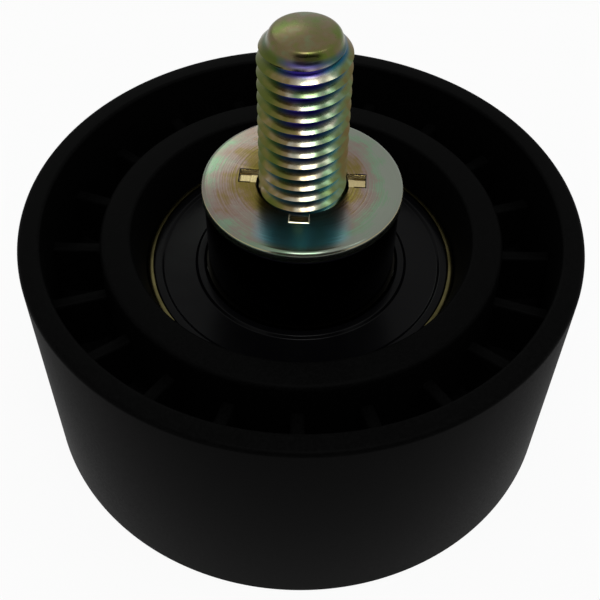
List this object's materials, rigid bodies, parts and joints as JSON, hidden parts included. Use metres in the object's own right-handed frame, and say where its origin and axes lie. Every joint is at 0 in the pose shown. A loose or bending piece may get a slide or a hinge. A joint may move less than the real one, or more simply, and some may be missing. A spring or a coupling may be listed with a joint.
{
  "type": "belt tensioner idler",
  "caption": "Smooth flat-belt idler pulley on a sealed ball bearing, with a captive threaded bolt standing out of its staked washer.",
  "frame": {"origin": "on the spin axis, in the plane of the pulley's rear edge that the part stands on", "axes": "+Z along the spin axis towards the bolt's threaded end; +X and +Y in the plane of the pulley"},
  "size_m": [0.0826, 0.0826, 0.0701],
  "materials": {
    "black_nylon": "moulded glass-filled nylon, satin",
    "bearing_steel": "ground bearing steel",
    "cage_steel": "pressed mild steel",
    "seal_rubber": "moulded nitrile rubber, semi-gloss",
    "black_steel": "blackened turned steel",
    "washer_zinc": "turned face, zinc plated, yellow passivated",
    "bolt_zinc": "rolled thread, zinc plated, yellow passivated"
  },
  "bodies": {
    "hub": {"hub_bush": "black_steel", "bearing_inner_ring": "bearing_steel", "retaining_washer": "washer_zinc"},
    "pulley": {"pulley": "black_nylon", "bearing_outer_ring": "bearing_steel", "front_seal": "seal_rubber", "rear_seal": "seal_rubber"},
    "cage": {"cage_front_half": "cage_steel", "cage_rear_half": "cage_steel", "cage_rivet_1": "cage_steel", "cage_rivet_2": "cage_steel", "cage_rivet_3": "cage_steel", "cage_rivet_4": "cage_steel", "cage_rivet_5": "cage_steel", "cage_rivet_6": "cage_steel", "cage_rivet_7": "cage_steel", "cage_rivet_8": "cage_steel"},
    "ball_1": {"bearing_ball_1": "bearing_steel"},
    "ball_2": {"bearing_ball_2": "bearing_steel"},
    "ball_3": {"bearing_ball_3": "bearing_steel"},
    "ball_4": {"bearing_ball_4": "bearing_steel"},
    "ball_5": {"bearing_ball_5": "bearing_steel"},
    "ball_6": {"bearing_ball_6": "bearing_steel"},
    "ball_7": {"bearing_ball_7": "bearing_steel"},
    "ball_8": {"bearing_ball_8": "bearing_steel"},
    "bolt": {"bolt": "bolt_zinc"}
  },
  "joints": [
    {"name": "pulley_spin", "type": "hinge", "parent": "hub", "child": "pulley", "pos_m": [0, 0, 0.019], "axis": [0, 0, 1], "continuous": true},
    {"name": "bolt_turn", "type": "hinge", "parent": "hub", "child": "bolt", "pos_m": [0, 0, 0.01295], "axis": [0, 0, 1], "continuous": true},
    {"name": "cage_orbit", "type": "hinge", "parent": "hub", "child": "cage", "pos_m": [0, 0, 0.0223], "axis": [0, 0, 1], "continuous": true},
    {"name": "ball_1_roll", "type": "hinge", "parent": "cage", "child": "ball_1", "pos_m": [0.01675, 0, 0.0223], "axis": [0, 0, 1], "continuous": true},
    {"name": "ball_2_roll", "type": "hinge", "parent": "cage", "child": "ball_2", "pos_m": [0.01184, 0.01184, 0.0223], "axis": [0, 0, 1], "continuous": true},
    {"name": "ball_3_roll", "type": "hinge", "parent": "cage", "child": "ball_3", "pos_m": [0, 0.01675, 0.0223], "axis": [0, 0, 1], "continuous": true},
    {"name": "ball_4_roll", "type": "hinge", "parent": "cage", "child": "ball_4", "pos_m": [-0.01184, 0.01184, 0.0223], "axis": [0, 0, 1], "continuous": true},
    {"name": "ball_5_roll", "type": "hinge", "parent": "cage", "child": "ball_5", "pos_m": [-0.01675, 0, 0.0223], "axis": [0, 0, 1], "continuous": true},
    {"name": "ball_6_roll", "type": "hinge", "parent": "cage", "child": "ball_6", "pos_m": [-0.01184, -0.01184, 0.0223], "axis": [0, 0, 1], "continuous": true},
    {"name": "ball_7_roll", "type": "hinge", "parent": "cage", "child": "ball_7", "pos_m": [0, -0.01675, 0.0223], "axis": [0, 0, 1], "continuous": true},
    {"name": "ball_8_roll", "type": "hinge", "parent": "cage", "child": "ball_8", "pos_m": [0.01184, -0.01184, 0.0223], "axis": [0, 0, 1], "continuous": true}
  ],
  "couplings": [
    {"joint": "cage_orbit", "follows": "pulley_spin", "ratio": 0.6185},
    {"joint": "ball_1_roll", "follows": "pulley_spin", "ratio": 1.9916},
    {"joint": "ball_2_roll", "follows": "pulley_spin", "ratio": 1.9916},
    {"joint": "ball_3_roll", "follows": "pulley_spin", "ratio": 1.9916},
    {"joint": "ball_4_roll", "follows": "pulley_spin", "ratio": 1.9916},
    {"joint": "ball_5_roll", "follows": "pulley_spin", "ratio": 1.9916},
    {"joint": "ball_6_roll", "follows": "pulley_spin", "ratio": 1.9916},
    {"joint": "ball_7_roll", "follows": "pulley_spin", "ratio": 1.9916},
    {"joint": "ball_8_roll", "follows": "pulley_spin", "ratio": 1.9916}
  ]
}
